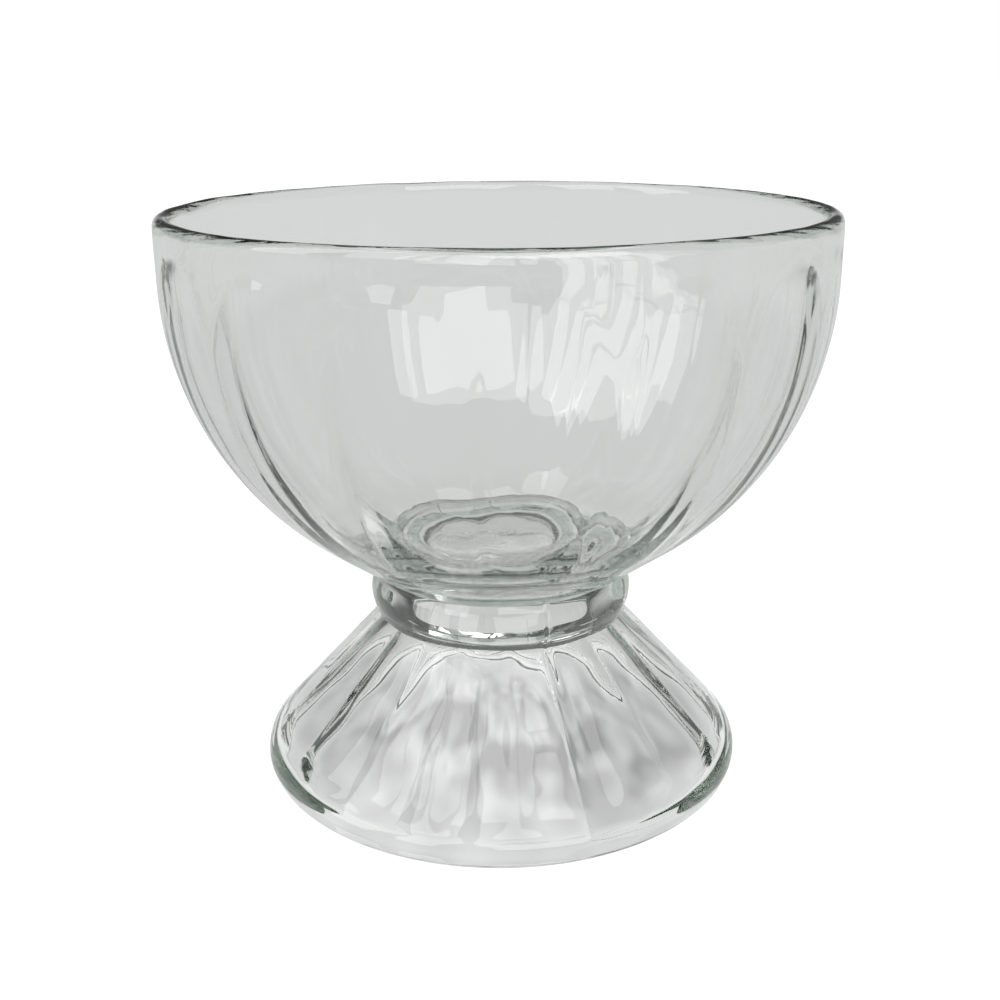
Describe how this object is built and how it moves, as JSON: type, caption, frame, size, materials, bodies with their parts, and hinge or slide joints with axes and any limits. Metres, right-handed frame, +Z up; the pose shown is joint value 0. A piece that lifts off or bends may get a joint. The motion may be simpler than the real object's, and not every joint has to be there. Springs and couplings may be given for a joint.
{
  "type": "parfait glass",
  "caption": "Clear pressed-glass parfait dish: a wide bowl fluted on the inside, on a short collar and a hollow flared foot with a rounded lip.",
  "frame": {"origin": "middle of the flat ring under the foot, level with the table", "axes": "+Z up along the glass's own axis, from the foot to the rim; -Y is the front"},
  "size_m": [0.1128, 0.1128, 0.1],
  "materials": {
    "clear_glass": "clear, fire-polished"
  },
  "bodies": {
    "root": {"bowl": "clear_glass", "collar": "clear_glass", "foot": "clear_glass"}
  },
  "joints": []
}
